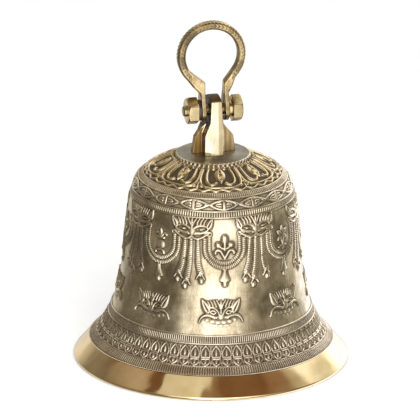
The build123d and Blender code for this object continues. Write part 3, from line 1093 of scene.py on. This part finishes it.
# Brightness of the room near the horizon and higher up: angle from the camera (positive to its
# right) and value
ROOM_LOW = [
    (-180, 0.6),
    (-152, 0.85),
    (-130, 0.26),
    (-104, 0.18),
    (-80, 0.24),
    (-62, 0.26),
    (-49, 0.14),
    (-39, 0.4),
    (-29, 1.2),
    (-8, 2.2),
    (22, 2.05),
    (38, 1.0),
    (56, 0.42),
    (76, 0.2),
    (92, 0.3),
    (110, 0.62),
    (126, 0.85),
    (142, 2.1),
    (180, 0.8),
]
ROOM_HIGH = [
    (-180, 0.8),
    (-150, 1.15),
    (-133, 1.1),
    (-127, 0.3),
    (-114, 0.22),
    (-106, 0.42),
    (-78, 0.46),
    (-72, 0.18),
    (-61, 0.18),
    (-57, 0.68),
    (-9, 0.78),
    (-3, 0.3),
    (12, 0.2),
    (60, 0.2),
    (80, 0.3),
    (94, 0.6),
    (106, 1.7),
    (125, 2.3),
    (180, 0.9),
]
# The brightest value a ramp can hold; plain white is 1 in the values above
ROOM_SCALE = 3.0
WHITE = (1 / ROOM_SCALE,) * 3
CROWN_GREY = (0.37,) * 3
LOW_WARMTH = 0.15
HIGH_WARMTH = 0.65


def room_ramp(n, turn, stops, warmth):
    """A ramp over the angle round the room; warmth tints its dark parts brown, bright ones are cool."""
    node = n.add("ShaderNodeValToRGB")
    n.put(node.inputs[0], turn)
    ramp = node.color_ramp
    ramp.interpolation = "EASE"
    while len(ramp.elements) < len(stops):
        ramp.elements.new(0.5)
    for element, (angle, _) in zip(ramp.elements, stops):
        element.position = (angle + 180) / 360
    for element, (_, value) in zip(ramp.elements, stops):
        level = value / ROOM_SCALE
        shade = warmth * (1 - min(1.0, value / 0.6))
        window = min(1.0, max(0.0, value - 0.8))
        green = 1 - shade + 0.03 * window
        blue = 1 - 1.5 * shade + 0.24 * window
        element.color = (level, level * green, level * blue, 1.0)
    return node.outputs[0]


def build_room():
    """A soft room for the metal to reflect, plain white to the camera and in diffuse light."""
    world = bpy.data.worlds.new("studio")
    bpy.context.scene.world = world
    world.use_nodes = True
    tree = world.node_tree
    n = Nodes(tree)
    direction = n.add("ShaderNodeTexCoord").outputs["Generated"]
    turned = n.add("ShaderNodeVectorRotate", rotation_type="Z_AXIS")
    n.put(turned.inputs["Vector"], direction)
    turned.inputs["Angle"].default_value = math.radians(90.0 - CAMERA_AZIMUTH)
    parts = n.add("ShaderNodeSeparateXYZ")
    n.put(parts.inputs[0], turned.outputs[0])
    x, y, z = parts.outputs
    turn = n.spread(n.math("ARCTAN2", y, x), -math.pi, math.pi)
    low = room_ramp(n, turn, ROOM_LOW, LOW_WARMTH)
    high = room_ramp(n, turn, ROOM_HIGH, HIGH_WARMTH)
    sides = n.mix(n.spread(z, 0.42, 0.72), low, high)
    room = n.mix(n.spread(z, 0.975, 0.99), sides, CROWN_GREY)
    ray = n.add("ShaderNodeLightPath")
    reflected = n.mix(ray.outputs["Is Glossy Ray"], WHITE, room)
    shown = n.mix(ray.outputs["Is Camera Ray"], reflected, WHITE)
    background = tree.nodes["Background"]
    n.put(background.inputs["Color"], shown)
    background.inputs["Strength"].default_value = ROOM_SCALE


FLOOR_SIZE = 14.0


def build_floor():
    """A plain pale floor; the metal reflects the room instead of it."""
    bpy.ops.mesh.primitive_grid_add(x_subdivisions=8, y_subdivisions=8, size=FLOOR_SIZE)
    floor = bpy.context.object
    floor.name = "floor"
    material, n, surface = new_material("pale_floor")
    grain = n.spread(n.noise(30, 3), 0.3, 0.7)
    n.put(surface.inputs["Base Color"], n.mix(grain, (0.93, 0.93, 0.92), (0.91, 0.91, 0.90)))
    surface.inputs["Roughness"].default_value = 0.9
    surface.inputs["Specular IOR Level"].default_value = 0.0
    clear = n.add("ShaderNodeBsdfTransparent")
    chosen = n.add("ShaderNodeMixShader")
    n.put(chosen.inputs[0], n.add("ShaderNodeLightPath").outputs["Is Glossy Ray"])
    n.put(chosen.inputs[1], surface.outputs[0])
    n.put(chosen.inputs[2], clear.outputs[0])
    output = next(node for node in material.node_tree.nodes if node.type == "OUTPUT_MATERIAL")
    n.put(output.inputs["Surface"], chosen.outputs[0])
    floor.data.materials.append(material)


def direction_to(azimuth, elevation):
    """From the bell towards a place at an azimuth and elevation."""
    a, e = math.radians(azimuth), math.radians(elevation)
    return Vector((math.sin(a) * math.cos(e), -math.cos(a) * math.cos(e), math.sin(e)))


# The camera's distance and lens, the point it aims at (height, and how far aside), and its roll
CAMERA_DISTANCE = 6812.0
CAMERA_LENS = 800.0
AIM_HEIGHT = 111.8
AIM_ASIDE = -1.8
CAMERA_ROLL = -0.6


def build_camera():
    """A long-lens camera a little above the bell."""
    back = direction_to(CAMERA_AZIMUTH, CAMERA_ELEVATION)
    turn = math.radians(CAMERA_AZIMUTH)
    aside = Vector((math.cos(turn), math.sin(turn), 0))
    data = bpy.data.cameras.new("camera")
    data.lens = CAMERA_LENS
    camera = bpy.data.objects.new("camera", data)
    bpy.context.scene.collection.objects.link(camera)
    aim = Vector((0, 0, AIM_HEIGHT)) + aside * AIM_ASIDE
    camera.location = (aim + back * CAMERA_DISTANCE) * MM
    facing = (-back).to_track_quat("-Z", "Y").to_matrix().to_4x4()
    roll = Matrix.Rotation(math.radians(-CAMERA_ROLL), 4, "Z")
    camera.matrix_world = Matrix.Translation(camera.location) @ facing @ roll
    bpy.context.scene.camera = camera


# The lamp's place, in metres from the bell's middle, its width and its power
LAMP_AZIMUTH = CAMERA_AZIMUTH + 12
LAMP_ELEVATION = 40
LAMP_DISTANCE = 1.6
LAMP_AIM_HEIGHT = 0.12
LAMP_WIDTH = 0.9
LAMP_POWER = 12


def build_lamp():
    """A soft lamp aimed at the bell, not seen in its metal."""
    back = direction_to(LAMP_AZIMUTH, LAMP_ELEVATION)
    data = bpy.data.lights.new("key_lamp", "AREA")
    data.shape = "DISK"
    data.size = LAMP_WIDTH
    data.energy = LAMP_POWER
    lamp = bpy.data.objects.new("key_lamp", data)
    bpy.context.scene.collection.objects.link(lamp)
    lamp.location = back * LAMP_DISTANCE + Vector((0, 0, LAMP_AIM_HEIGHT))
    lamp.rotation_mode = "QUATERNION"
    lamp.rotation_quaternion = (-back).to_track_quat("-Z", "Y")
    lamp.visible_glossy = False


build_walls()
build_lip()
build_disk()
build_fittings()
build_room()
build_floor()
build_camera()
build_lamp()
bpy.context.scene.view_settings.view_transform = "Standard"
